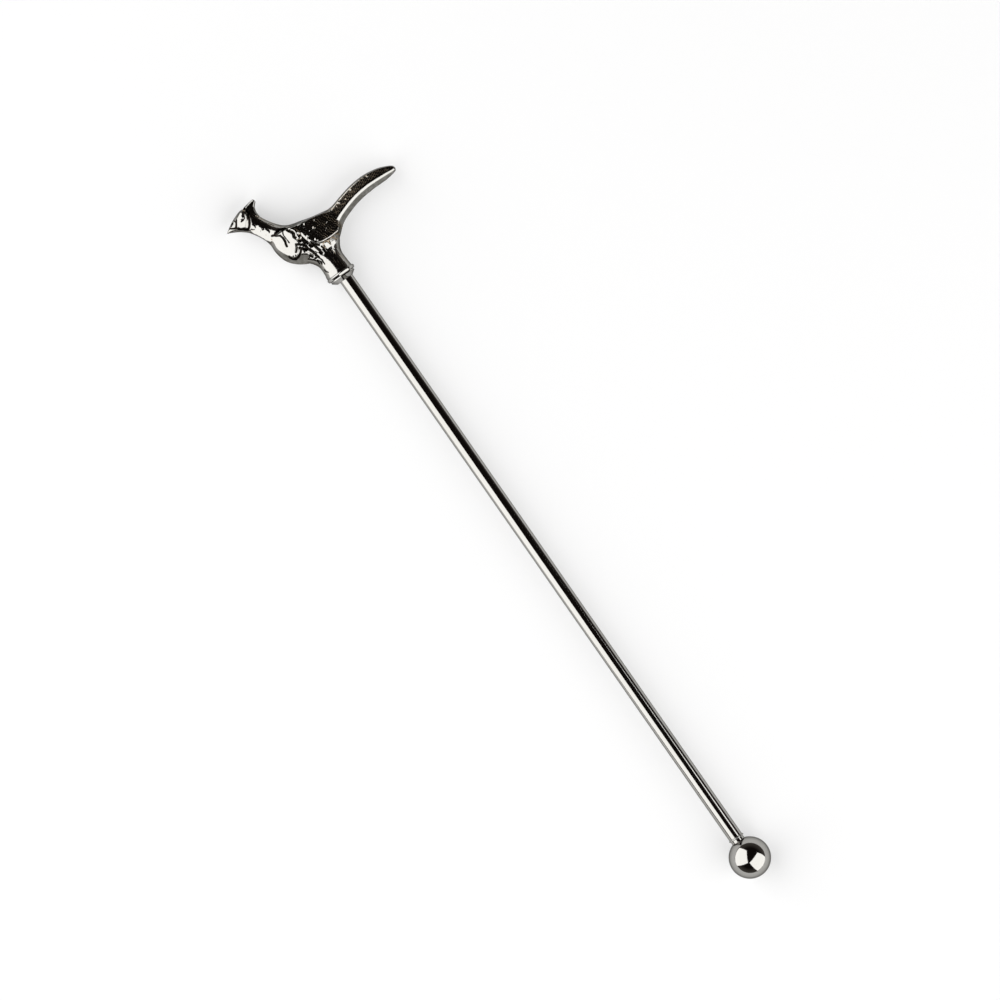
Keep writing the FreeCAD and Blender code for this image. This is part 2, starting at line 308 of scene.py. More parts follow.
def smoothStep(low, high, value):
    share = np.clip((value - low) / (high - low), 0, 1)
    return share * share * (3 - 2 * share)


def lineDistance(flank, points):
    nearest = np.full(len(flank), 1e9)
    for start, end in zip(points, points[1:]):
        start, run = np.array(start), np.subtract(end, start)
        share = np.clip((flank - start) @ run / (run @ run), 0, 1)
        nearest = np.minimum(nearest, np.linalg.norm(flank - start - share[:, None] * run, axis=1))
    return nearest


def betweenSections(rows, steps):
    # Further sections on a smooth curve through the given ones
    flat = [np.hstack([np.ravel(value) for value in row]) for row in rows]
    made = []
    for number in range(len(flat) - 1):
        before = flat[max(number - 1, 0)]
        start, end = flat[number], flat[number + 1]
        after = flat[min(number + 2, len(flat) - 1)]
        for step in range(steps):
            t = step / steps
            curve = start + 0.5 * t * (end - before + t * (2 * before - 5 * start + 4 * end - after
                                                           + t * (3 * (start - end) + after - before)))
            made.append(curve)
    return made + [flat[-1]]


def sectionRing(row, setting):
    lowX, lowZ, highX, highZ, halfWidth, flatness, keel = row
    count = setting["pointsAround"]
    low = Vector((lowX, 0, lowZ))
    high = Vector((highX, 0, highZ))
    ring = []
    for step in range(count):
        angle = 2 * pi * step / count
        share = (1 - cos(angle)) / 2
        tail = np.interp(share, setting["tailShares"], setting["tailWidths"])
        keeled = np.interp(share, setting["keelShares"], setting["keelWidths"])
        width = (1 - flatness - keel) * abs(sin(angle)) + flatness * tail + keel * keeled
        side = width * (1 if step < count / 2 else -1)
        ring.append(low + (high - low) * share + Vector((0, side * max(halfWidth, 0.03), 0)))
    return ring


def tuftRing(high, low, halfWidth, spread, count):
    # A flat leaf of a section with short bevelled edges
    ring = []
    for step in range(count):
        angle = 2 * pi * step / count
        share = (1 - cos(angle)) / 2
        width = min(1, 7 * share, 7 * (1 - share)) * (1 if step < count / 2 else -1)
        place = Vector((*high, 0)).lerp(Vector((*low, 0)), share)
        ring.append(Vector((place.x, width * halfWidth + spread, place.y)))
    return ring


def stumpRing(row, count):
    height, front, back, halfWidth = row
    middle = (front + back) / 2
    reach = (back - front) / 2
    angles = [2 * pi * step / count for step in range(count)]
    return [Vector((middle + cos(angle) * reach, sin(angle) * halfWidth, height)) for angle in angles]


def makeBirdForm(setting):
    rows = betweenSections(setting["sections"], setting["stepsBetween"])
    skin = extrudeAlong("pheasant", [sectionRing(row, setting) for row in rows])
    stumpRows = betweenSections(setting["stump"], setting["stumpSteps"])
    parts = [skin, extrudeAlong("stump", [stumpRing(row, setting["stumpPoints"]) for row in stumpRows])]
    for side in (-1, 1):
        rings = []
        for high, low, halfWidth, spread in setting["tuft"]:
            rings.append(tuftRing(high, low, halfWidth, side * spread, setting["tuftPoints"]))
        parts.append(extrudeAlong("tuft", rings))
    makeActive(skin)
    for part in parts:
        part.select_set(True)
    bpy.ops.object.join()
    meltTogether(skin, setting)
    raiseLobe(skin, setting, "neck")
    raiseLobe(skin, setting, "cheek")
    raiseBreast(skin, setting)
    raiseWings(skin, setting)
    meltTogether(skin, setting)
    return skin


def meltTogether(piece, setting):
    makeActive(piece)
    piece.data.remesh_voxel_size = setting["voxel"]
    bpy.ops.object.voxel_remesh()
    applyModifier(piece, "SMOOTH", factor=setting["smoothingFactor"], iterations=setting["smoothing"])


def readVertices(mesh, name):
    values = np.empty(len(mesh.vertices) * 3)
    mesh.vertices.foreach_get(name, values)
    return values.reshape(-1, 3)


def insideOutline(flank, outline):
    # How far inside a closed outline each point lies; negative outside
    inside = np.zeros(len(flank), dtype=bool)
    corners = np.array(outline)
    for start, end in zip(corners, np.roll(corners, -1, axis=0)):
        spans = (start[1] > flank[:, 1]) != (end[1] > flank[:, 1])
        slope = (end[0] - start[0]) / (end[1] - start[1] if end[1] != start[1] else 1e-9)
        inside ^= spans & (flank[:, 0] < start[0] + slope * (flank[:, 1] - start[1]))
    away = lineDistance(flank, [*outline, outline[0]])
    return np.where(inside, away, -away)


def raisePlate(bird, outline, fade, midline, heightAt):
    # The flank is brought out to a given height inside an outline, and turns under at the outline's edge.
    # What lies close to the bird's midline stays as it is.
    places = readVertices(bird.data, "co")
    flank = places[:, [0, 2]]
    out = np.abs(places[:, 1])
    share = smoothStep(*fade, insideOutline(flank, outline)) * smoothStep(*midline, out)
    grown = np.sign(places[:, 1]) * np.maximum(heightAt(flank[:, 0], flank[:, 1]), out)
    places[:, 1] += (grown - places[:, 1]) * share
    bird.data.vertices.foreach_set("co", places.ravel())
    bird.data.update()


def raiseLobe(bird, setting, name):
    # The cheek, and the feathers down the front of the neck, lie as plates that fall away to the throat
    crestX, crestZ, height = setting[name + "Crest"]
    back, up = setting["lobeSlope"]
    fade = (setting["outside"], setting["lobeEdge"])
    raisePlate(bird, setting[name + "Plate"], fade, setting["lobeMidline"],
               lambda x, z: height + back * (x - crestX) + up * (z - crestZ))


def raiseBreast(bird, setting):
    # The breast feathers hang as one plate, crested towards the wing and stepping down at their tips
    crest, height = setting["breastRidge"]
    fade = (setting["outside"], setting["breastEdge"])
    raisePlate(bird, setting["breastPlate"], fade, setting["plateMidline"],
               lambda x, z: height - setting["breastFall"] * np.clip(crest - x, 0, None) ** 2)


def raiseWings(bird, setting):
    # The folded wings lie flat over the flanks, thinning towards the back and, faster, towards the tail
    foot, footFall = setting["wingFoot"]
    crown, crownFall = setting["wingCrown"]
    rear, rearFall = setting["wingRear"]

    def heightAt(x, z):
        height = setting["wingThickness"] - footFall * (z - foot) ** 2
        height = height - crownFall * np.clip(z - crown, 0, None) ** 2
        return height - rearFall * np.clip(x - rear, 0, None) ** setting["wingRearPower"]

    fade = (setting["outside"], setting["wingEdge"])
    raisePlate(bird, setting["wing"], fade, setting["plateMidline"], heightAt)


# Feathers, carved over both flanks of the bird in side view. Heights are in millimetres.

featherSettings = {
    "hackleTips": [(-10.6, 16.5), (-9.4, 16.6), (-8.2, 16.9), (-7.0, 17.3), (-5.8, 17.8), (-4.7, 18.3)],
    "hackleRun": (-0.50, 0.866),
    "hacklePitch": 1.6,
    "hackleShift": (-0.25, 0.0),   # how far each row steps on from the one before
    "hackleRows": 4,
    "hackleLength": 2.4,
    "hackleHalfWidth": 0.7,
    "hackleLift": 0.065,
    "breast": [                # root, tip, half width, lift
        ((-4.6, 18.0), (-3.9, 16.3), 0.42, 0.16),
        ((-4.3, 16.6), (-3.3, 15.0), 0.5, 0.18),
        ((-4.0, 15.3), (-2.8, 14.4), 0.4, 0.18),
        ((-4.3, 15.0), (-3.2, 13.3), 0.55, 0.18),
        ((-3.6, 12.6), (-2.5, 11.0), 0.3, 0.16),
        ((-5.2, 10.5), (-4.2, 9.9), 0.3, 0.14),
        ((-4.6, 9.6), (-3.8, 9.0), 0.3, 0.14),
        ((0.9, 7.9), (0.6, 9.5), 0.7, 0.34),
        ((2.3, 7.9), (2.4, 9.5), 0.75, 0.34),
        ((3.7, 8.5), (3.9, 9.5), 0.7, 0.26),
    ],
    "coverts": [(-0.6, 15.9), (1.4, 15.3), (3.2, 14.9), (0.2, 14.2), (2.2, 13.6), (4.0, 13.0),
                (-1.2, 13.1), (0.9, 12.3), (2.9, 11.7), (-0.2, 11.0), (1.8, 10.4)],
    "covertRun": (-1.5, 1.3),
    "covertHalfWidth": 0.8,
    "covertLift": 0.045,
    "flecks": [                # place, radius, height
        ((-2.3, 17.0), 0.20, 0.09),
        ((-0.7, 15.6), 0.20, 0.10),
        ((1.8, 14.95), 0.20, 0.09),
        ((0.6, 13.6), 0.26, 0.14),
        ((-0.6, 13.5), 0.16, 0.05),
        ((-2.1, 12.5), 0.22, 0.12),
        ((-1.7, 12.8), 0.20, 0.12),
        ((0.4, 11.75), 0.18, 0.05),
        ((-0.6, 11.1), 0.24, 0.12),
        ((-0.4, 10.8), 0.20, 0.10),
        ((-1.1, 9.75), 0.18, 0.06),
        ((-3.0, 14.6), 0.20, 0.10),
        ((8.7, 15.2), 0.22, 0.14),
        ((7.9, 14.7), 0.16, 0.08),
        ((12.8, 16.1), 0.20, 0.13),
        ((17.7, 16.5), 0.18, 0.12),
        ((10.6, 14.9), 0.16, 0.07),
    ],
    "creases": [               # points, width, depth
        ([(-5.1, 17.5), (-4.7, 16.4), (-4.1, 15.7), (-4.0, 15.1), (-4.4, 14.5), (-4.2, 14.1)], 0.22, 0.18),
        ([(-7.8, 17.1), (-7.0, 16.6), (-6.75, 15.8), (-6.75, 14.8), (-7.0, 14.2), (-7.1, 13.6)], 0.22, 0.18),
        ([(-8.1, 11.3), (-7.7, 10.5), (-7.0, 10.0), (-6.2, 10.1), (-5.4, 10.5), (-4.9, 11.0)], 0.24, 0.18),
        ([(-6.1, 11.3), (-5.3, 12.1)], 0.22, 0.16),
        ([(-7.25, 10.85), (-7.2, 10.9)], 0.15, 0.10),
        ([(-6.7, 10.72), (-6.65, 10.78)], 0.15, 0.10),
        ([(-5.0, 12.6), (-4.4, 12.3), (-3.7, 11.6), (-3.4, 10.9), (-3.25, 9.9), (-2.75, 8.6), (-2.45, 7.3)],
         0.26, 0.16),
        ([(-2.45, 7.3), (-2.15, 6.2), (-2.25, 5.2)], 0.13, 0.10),
        ([(-4.9, 11.6), (-4.3, 10.9), (-3.6, 10.6)], 0.30, 0.16),
        ([(-3.3, 12.1), (-2.6, 11.2), (-2.2, 10.4)], 0.18, 0.14),
        ([(-2.0, 10.9), (-1.75, 9.9), (-1.5, 8.9), (-1.2, 7.7)], 0.28, 0.16),
        ([(-1.3, 10.2), (-0.8, 9.6)], 0.25, 0.10),
        ([(-0.45, 9.0), (-0.3, 7.6)], 0.22, 0.10),
        ([(-3.95, 8.8), (-3.6, 8.2)], 0.26, 0.14),
        ([(-3.2, 7.5), (-2.8, 7.6)], 0.20, 0.12),
        ([(-3.1, 6.8), (-3.15, 5.9)], 0.11, 0.06),
        ([(-3.1, 4.2), (-3.0, 3.6), (-2.7, 3.2)], 0.14, 0.08),
        ([(-8.6, 17.7), (-8.0, 17.55), (-7.3, 17.7), (-6.4, 17.85), (-5.3, 17.6)], 0.26, 0.14),
        ([(-9.6, 20.2), (-9.3, 20.1)], 0.16, 0.10),
        ([(-15.9, 25.0), (-15.3, 24.5), (-14.7, 24.05), (-14.2, 23.75), (-13.6, 23.15), (-12.9, 22.85)],
         0.19, 0.14),
        ([(-13.4, 25.6), (-13.75, 25.1), (-14.2, 24.4), (-14.5, 24.1)], 0.22, 0.14),
        ([(-13.9, 25.9), (-13.75, 25.2)], 0.12, 0.08),
        ([(-15.0, 25.9), (-14.7, 25.5)], 0.26, 0.12),
        ([(-14.7, 25.4), (-15.2, 25.1)], 0.12, 0.08),
        ([(-13.0, 22.7), (-12.3, 22.2), (-11.8, 22.5), (-11.2, 23.2), (-10.7, 24.1), (-10.3, 25.0)],
         0.28, 0.10),
        ([(-5.9, 17.2), (-6.3, 16.2), (-6.25, 15.1), (-6.15, 14.0)], 0.11, 0.10),
        ([(-12.5, 24.6), (-12.0, 24.6), (-11.55, 24.85), (-11.3, 25.3)], 0.15, 0.12),
        ([(-11.45, 25.5), (-11.05, 25.85), (-11.15, 26.15)], 0.27, 0.12),
        ([(-10.4, 27.1), (-10.1, 26.2), (-10.0, 25.3)], 0.28, 0.05),
    ],
    "eye": (-12.1, 25.4),
    "eyeRadius": 0.5,
    "eyeHeight": 0.10,
    "flankFade": (0.12, 0.5),      # carving fades out where the surface turns away from the side view
    "creaseFade": (1.35, 0.75),    # where a crease's mark starts and is full, in widths from its line
    "rimShade": 0.5,               # how far the back takes the painted shade; the belly and underside take it in full
    "rimFade": (0.74, 0.6),
    "undersideFade": (0.1, -0.3),
    "hollowDepths": (0.003, 0.018),
    "hollowStain": 0.5,
}


def featherHeight(flank, root, tip, halfWidth, lift):
    # A feather rises from its root to a rounded tip, with a fine shaft down the middle
    run = np.subtract(tip, root)
    length = np.linalg.norm(run)
    run = run / length
    offset = flank - np.array(root)
    along = offset @ run / length
    across = (offset[:, 1] * run[0] - offset[:, 0] * run[1]) / halfWidth
    rounding = np.where(along > 0.5, ((along - 0.5) / 0.5) ** 2, 0)
    outline = smoothStep(0, 0.4, 1 - across ** 2 - rounding)
    rise = smoothStep(-0.1, 0.35, along) * (0.45 + 0.55 * along)
    shaft = 0.12 * np.exp(-(across * halfWidth / 0.09) ** 2)
    return lift * outline * rise * (1 - 0.25 * across ** 2 - shaft)


def featherList(setting):
    # Every feather of the neck, breast and wing as root, tip, half width and lift
    feathers = []
    run = np.array(setting["hackleRun"])
    for row in range(setting["hackleRows"]):
        tips = np.array(setting["hackleTips"]) + run * setting["hacklePitch"] * row
        if row % 2:
            tips = (tips[1:] + tips[:-1]) / 2
        tips = tips + np.array(setting["hackleShift"]) * row
        for tip in tips:
            root = tip + run * setting["hackleLength"]
            feathers.append((root, tip, setting["hackleHalfWidth"], setting["hackleLift"]))
    feathers += setting["breast"]
    for place in setting["coverts"]:
        root = np.add(place, setting["covertRun"])
        feathers.append((root, place, setting["covertHalfWidth"], setting["covertLift"]))
    return feathers


# Fine lines on the wing, tail, thigh and nape. At an area's start, end, foot and top the lines go from none
# at the first number to full at the second. The hollows between lines start to brown at the first number of
# "worn", and are full brown at the second.

lineSettings = {
    "wing": {
        "start": (-1.4, 1.6),
        "lean": 0.12,
        "end": (6.8, 5.8),
        "foot": (9.4, 10.2),
        "pitch": 0.58,
        "lift": 0.03,
        "worn": (0.7, 0.2),
    },
    "tail": {
        "ridge": ([6, 8, 10, 15, 18, 24], [12.3, 13.1, 13.75, 14.85, 14.95, 14.5]),
        "upper": ([6, 7.4, 10, 13.5, 17, 20.5, 24], [15.5, 15.65, 16.35, 17.1, 17.3, 16.8, 15.25]),
        "start": (5.6, 7.0),
        "end": (24.2, 23.2),
        "foot": (0.15, 0.5),       # up from the ridge
        "top": (0.15, 0.6),        # down from the upper edge
        "barPitch": 1.15,
        "barLift": 0.02,
        "barWorn": (0.65, 0.3),
        "barbPitch": 0.5,
        "barbLift": 0.012,
        "barbWorn": (0.65, 0.2),
    },
    "thigh": {
        "start": (-0.5, 0.2),
        "end": (3.0, 2.4),
        "foot": (2.0, 2.6),
        "top": (7.8, 7.0),
        "pitch": 0.62,
        "lift": 0.02,
        "worn": (0.5, 0.1),
        "share": 0.7,
    },
    "nape": {
        "axisPoint": (-9.0, 20.0),     # in the middle of the neck
        "towardsBack": (0.888, 0.46),
        "start": (0.3, 0.8),       # back from the neck's axis
        "end": (2.4, 1.8),
        "foot": (17.3, 18.3),
        "top": (25.0, 24.0),
        "pitch": 0.5,
        "lift": 0.02,
        "worn": (0.6, 0.1),
        "share": 0.8,
    },
    "stain": 0.42,
}


def wingLines(x, z, area):
    # Long feathers that sweep from the back down to the wing's tip, wavering, and sharper in some places
    inWing = (smoothStep(*area["start"], x + (z - 13) * area["lean"]) * smoothStep(*area["end"], x)
              * smoothStep(*area["foot"], z))
    sweep = x + 0.42 * (z - 10) - 0.01 * (z - 10) ** 2
    sweep = sweep + 0.10 * np.sin(z * 1.7 + x) + 0.12 * np.sin(z * 3.7 - x * 2.2)
    lines = np.abs(np.sin(pi * sweep / area["pitch"])) ** (0.75 + 0.35 * np.sin(x * 2.7 + z))
    return area["lift"] * inWing * lines, inWing * smoothStep(*area["worn"], lines)


def tailLines(x, z, area):
    # Bars across the tail and finer barbs along it, between the ridge and the upper edge
    ridgeLine = np.interp(x, *area["ridge"])
    upperLine = np.interp(x, *area["upper"])
    inTail = (smoothStep(*area["start"], x) * smoothStep(*area["end"], x)
              * smoothStep(*area["foot"], z - ridgeLine) * smoothStep(*area["top"], upperLine - z))
    slanted = x + 1.1 * (z - ridgeLine) + 0.15 * np.sin(x * 2.3)
    bars = np.abs(np.sin(pi * slanted / area["barPitch"])) ** 0.5
    barbs = np.abs(np.sin(pi * (0.55 * x - z + ridgeLine) / area["barbPitch"]))
    worn = np.maximum(smoothStep(*area["barWorn"], bars), smoothStep(*area["barbWorn"], barbs))
    return inTail * (area["barLift"] * bars + area["barbLift"] * barbs), inTail * worn


def thighLines(x, z, area):
    # Wavering lines down the thigh
    inThigh = (smoothStep(*area["start"], x) * smoothStep(*area["end"], x) * smoothStep(*area["foot"], z)
               * smoothStep(*area["top"], z))
    wavering = x + 0.18 * np.sin(z * 1.1) + 0.10 * np.sin(z * 3.3 + x * 2)
    lines = np.abs(np.sin(pi * wavering / area["pitch"])) ** (0.9 + 0.6 * np.sin(z * 1.7 + x * 3))
    return area["lift"] * inThigh * lines, area["share"] * inThigh * smoothStep(*area["worn"], lines)


def napeLines(x, z, area):
    # Lines that run down the back of the neck
    axisX, axisZ = area["axisPoint"]
    across = (x - axisX) * area["towardsBack"][0] + (z - axisZ) * area["towardsBack"][1]
    inNape = (smoothStep(*area["start"], across) * smoothStep(*area["end"], across)
              * smoothStep(*area["foot"], z) * smoothStep(*area["top"], z))
    waver = 0.14 * np.sin(z * 1.9)
    lines = np.abs(np.sin(pi * (across + waver) / area["pitch"])) ** (0.8 + 0.4 * np.sin(z * 2.6))
    return area["lift"] * inNape * lines, area["share"] * inNape * smoothStep(*area["worn"], lines)


def fineLines(flank, setting):
    # The height of all the lines, and how brown the hollows between them are
    x, z = flank[:, 0], flank[:, 1]
    drawn = [wingLines(x, z, setting["wing"]), tailLines(x, z, setting["tail"]),
             thighLines(x, z, setting["thigh"]), napeLines(x, z, setting["nape"])]
    height = sum(lines for lines, worn in drawn)
    stain = sum(worn for lines, worn in drawn)
    return height, setting["stain"] * np.clip(stain, 0, 1)


def carveFeathers(bird, setting):
    # Feathers, lines, flecks and the eye are raised, and creases cut. The marks for the painted shade in the
    # creases and on the rims are kept for the plating to read, and the brown of the lines is given back.
    mesh = bird.data
    places = readVertices(mesh, "co")
    normals = readVertices(mesh, "normal")
    flank = places[:, [0, 2]]
    onFlank = smoothStep(*setting["flankFade"], np.abs(normals[:, 1]))
    height = np.zeros(len(places))
    for feather in featherList(setting):
        height = np.maximum(height, featherHeight(flank, *feather))
    lines, stain = fineLines(flank, lineSettings)
    height += lines
    for place, radius, rise in setting["flecks"]:
        height += rise * np.exp(-(np.linalg.norm(flank - np.array(place), axis=1) / radius) ** 2)
    # The crease mark places painted shade: the plating colours the creases nearly black, where shade falls in
    # them
    crease = np.zeros(len(places))
    for points, width, depth in setting["creases"]:
        away = lineDistance(flank, points) / width
        height -= depth * np.exp(-away ** 2)
        crease = np.maximum(crease, smoothStep(*setting["creaseFade"], away))
    eyeAway = np.linalg.norm(flank - np.array(setting["eye"]), axis=1) / setting["eyeRadius"]
    height += setting["eyeHeight"] * np.sqrt(np.clip(1 - eyeAway ** 2, 0, 1))
    places += normals * (height * onFlank)[:, None]
    mesh.vertices.foreach_set("co", places.ravel())
    mesh.update()
    keepMark(mesh, "crease", crease * onFlank)
    # Painted shade: rims turned away from the side view are coloured darker, half on the back, fully
    # underneath
    rim = smoothStep(*setting["rimFade"], np.abs(normals[:, 1]))
    underside = smoothStep(*setting["undersideFade"], normals[:, 2])
    keepMark(mesh, "shade", rim * (setting["rimShade"] + (1 - setting["rimShade"]) * underside))
    return stain * onFlank


def keepMark(mesh, name, values):
    attribute = mesh.attributes.new(name, "FLOAT", "POINT")
    attribute.data.foreach_set("value", values)


def markHollows(bird, stain, setting):
    # Each vertex's depth below its neighbours, or the brown of the lines where that is more. The plating
    # reads it to dull and brown the hollows between feathers.
    mesh = bird.data
    places = readVertices(mesh, "co")
    normals = readVertices(mesh, "normal")
    ends = np.empty(len(mesh.edges) * 2, dtype=np.int64)
    mesh.edges.foreach_get("vertices", ends)
    ends = ends.reshape(-1, 2)
    links = np.bincount(ends.ravel(), minlength=len(places))

    def neighbourMean(values):
        total = np.zeros_like(values)
        np.add.at(total, ends[:, 0], values[ends[:, 1]])
        np.add.at(total, ends[:, 1], values[ends[:, 0]])
        return total / (links[:, None] if values.ndim > 1 else links)

    around = neighbourMean(neighbourMean(places))
    hollow = neighbourMean(np.einsum("ij,ij->i", around - places, normals))
    depth = setting["hollowStain"] * smoothStep(*setting["hollowDepths"], hollow)
    keepMark(mesh, "hollow", np.maximum(depth, stain))


pheasant = makeBirdForm(birdSettings)
lineStain = carveFeathers(pheasant, featherSettings)
markHollows(pheasant, lineStain, featherSettings)
finishPiece(pheasant)
print("pheasant", len(pheasant.data.polygons), "faces")


# Collar

collarSettings = {
    "radius": 3.7,
    "top": 1.76,
    "round": 0.36,             # of the top edge
    "band": 0.9,               # foot of the lit band
    "bandRadius": 3.5,
    "bandStep": 0.12,          # up from the groove to the band's foot
    "grooveRadius": 3.15,
    "grooveFoot": 0.42,
    "grooveStep": 0.08,
    "grooveFlare": 0.1,
    "footRadius": 2.1,
    "underside": -0.4,
    "offset": -0.4,            # in front of the rod's axis
    "smoothAngle": 18,
}


def makeCollar(setting):
    edgeCentre = (setting["radius"] - setting["round"], setting["top"] - setting["round"])
    groove = setting["grooveRadius"]
    profile = [(0, setting["underside"]), (setting["footRadius"], setting["underside"])]
    profile += [(groove + setting["grooveFlare"], setting["grooveFoot"])]
    profile += [(groove, setting["grooveFoot"] + setting["grooveStep"])]
    profile += [(groove, setting["band"] - setting["bandStep"]), (setting["bandRadius"], setting["band"])]
    profile += arcPoints(edgeCentre, setting["round"], -20, 90, 8)
    profile += [(0, setting["top"])]
    return finishPiece(spinProfile("collar", profile, setting["offset"]), setting["smoothAngle"])


collar = makeCollar(collarSettings)
print("collar made")


# Rod and ball

rodSettings = {
    "beadRadius": 1.95,
    "beadLength": 0.36,
    "beadRound": 0.12,
    "grooveRadius": 1.68,
    "grooveLength": 0.42,
    "startInBall": 3.0,                    # up from the ball's centre
    "sunkInBird": 4.0,
    "ringsAtBead": (0.08, 0.2, 0.6, 2.0),  # up from the bead, close together to keep the shading clean
    "ringSpacing": 40.0,
    "ringsAlong": 3,
    "smoothAngle": 35,
}


def makeRod(setting):
    # A straight bar with a small bead where it meets the ball
    foot = -lying["collarFoot"]
    beadLow = foot + lying["ballRadius"] + setting["grooveLength"]
    beadHigh = beadLow + setting["beadLength"]
    roundCentre = setting["beadRadius"] - setting["beadRound"]
    start = foot + setting["startInBall"]
    profile = [(0, start), (setting["grooveRadius"], start), (setting["grooveRadius"], beadLow)]
    profile += arcPoints((roundCentre, beadLow + setting["beadRound"]), setting["beadRound"], -90, 0, 6)
    profile += arcPoints((roundCentre, beadHigh - setting["beadRound"]), setting["beadRound"], 0, 70, 6)
    profile += [(lying["rodRadius"], beadHigh + step) for step in setting["ringsAtBead"]]
    for number in range(setting["ringsAlong"], 0, -1):
        profile.append((lying["rodRadius"], -setting["ringSpacing"] * number))
    profile += [(lying["rodRadius"], setting["sunkInBird"]), (0, setting["sunkInBird"])]
    return finishPiece(spinProfile("rod", profile), setting["smoothAngle"])


def makeBall():
    foot = -lying["collarFoot"]
    profile = arcPoints((0, foot), lying["ballRadius"], -90, 90, 48)
    profile = [(max(radius, 0), height) for radius, height in profile]
    return finishPiece(spinProfile("ball", profile))


rod = makeRod(rodSettings)
ball = makeBall()
print("rod and ball made")


# Plating: one bright metal, dull and brown in the hollows of the casting, and drawn along the rod. The
# casting also has painted shade in its creases and on its rims and underside.

platingSettings = {
    "colour": (0.38, 0.373, 0.354, 1),
    "worn": (0.33, 0.318, 0.292, 1),
    # painted shade on the casting's rims and underside
    "shaded": (0.15, 0.145, 0.13, 1),
    "brown": (0.25, 0.195, 0.135, 1),
    # painted shade in the casting's creases, nearly black
    "black": (0.012, 0.010, 0.008, 1),
    "edgeTint": (0.25, 0.25, 0.25, 1),
    "castRoughness": (0.05, 0.42),     # polished, and dull in the hollows
    "barRoughness": (0.03, 0.10),
    "castSmudges": 0.5,
    "barSmudges": 0.35,
    "brownBetween": (0, 0.3),          # the hollow mark at which brown starts and is full
    "dullBetween": (0, 0.4),
    "pitsBetween": (0, 3),             # the pits' mask stops at 1, so they dull only in part
    "blackBetween": (0.1, 0.5),        # the crease mark at which the painted shade starts and is full
    "grainScale": 2600,
    "grainDepth": 0.000007,
    "smudgeScale": 60,
    "tarnishAndShadeScale": 900,
    "lineScale": 9000,
    "lineDepth": 0.000001,
}


def startGroup(name, inputs, outputs):
    # Every socket holds a number, but for the normal
    group = bpy.data.node_groups.new(name, "ShaderNodeTree")
    for label, value in inputs.items():
        socket = group.interface.new_socket(name=label, in_out="INPUT", socket_type="NodeSocketFloat")
        socket.default_value = value
    for label in outputs:
        kind = "NodeSocketVector" if label == "Normal" else "NodeSocketFloat"
        group.interface.new_socket(name=label, in_out="OUTPUT", socket_type=kind)
    return group, group.nodes.new("NodeGroupInput"), group.nodes.new("NodeGroupOutput")


def addNoise(group, given, detail, stretch=None):
    # Noise in the piece's own coordinates, at the scale that the group is given
    places = group.nodes.new("ShaderNodeTexCoord").outputs["Object"]
    if stretch:
        mapping = group.nodes.new("ShaderNodeMapping")
        mapping.inputs["Scale"].default_value = stretch
        group.links.new(places, mapping.inputs["Vector"])
        places = mapping.outputs["Vector"]
    noise = group.nodes.new("ShaderNodeTexNoise")
    noise.inputs["Detail"].default_value = detail
    group.links.new(places, noise.inputs["Vector"])
    group.links.new(given.outputs["Scale"], noise.inputs["Scale"])
    return noise


def addBump(group, given, noise, result):
    # The noise stands up by the depth that the group is given
    bump = group.nodes.new("ShaderNodeBump")
    group.links.new(given.outputs["Depth"], bump.inputs["Distance"])
    group.links.new(noise.outputs["Fac"], bump.inputs["Height"])
    group.links.new(bump.outputs["Normal"], result.inputs["Normal"])


def makeCastingGrain():
    # Fine pits and ripples that the plating leaves standing on a casting
    group, given, result = startGroup("castingGrain", {"Scale": 1000.0, "Depth": 0.00001}, ("Mask", "Normal"))
    noise = addNoise(group, given, detail=3)
    noise.inputs["Distortion"].default_value = 0.4
    pits = group.nodes.new("ShaderNodeMapRange")
    pits.interpolation_type = "SMOOTHSTEP"
    pits.inputs["From Min"].default_value = 0.45
    pits.inputs["From Max"].default_value = 0.72
    group.links.new(noise.outputs["Fac"], pits.inputs["Value"])
    group.links.new(pits.outputs["Result"], result.inputs["Mask"])
    addBump(group, given, noise, result)
    return group


def makeSmudges():
    # Soft patches where the shine has gone off with handling
    group, given, result = startGroup("smudges", {"Scale": 50.0, "Amount": 0.5}, ("Mask",))
    noise = addNoise(group, given, detail=5)
    noise.inputs["Roughness"].default_value = 0.62
    patch = group.nodes.new("ShaderNodeMapRange")
    patch.inputs["From Min"].default_value = 0.42
    patch.inputs["From Max"].default_value = 0.78
    group.links.new(noise.outputs["Fac"], patch.inputs["Value"])
    strength = group.nodes.new("ShaderNodeMath")
    strength.operation = "MULTIPLY"
    group.links.new(patch.outputs["Result"], strength.inputs[0])
    group.links.new(given.outputs["Amount"], strength.inputs[1])
    group.links.new(strength.outputs["Value"], result.inputs["Mask"])
    return group


def makePolishLines():
    # Fine lines along the rod, left by drawing and buffing
    group, given, result = startGroup("polishLines", {"Scale": 5000.0, "Depth": 0.00001}, ("Mask", "Normal"))
    noise = addNoise(group, given, detail=2, stretch=(0.02, 1, 1))
    group.links.new(noise.outputs["Fac"], result.inputs["Mask"])
    addBump(group, given, noise, result)
    return group


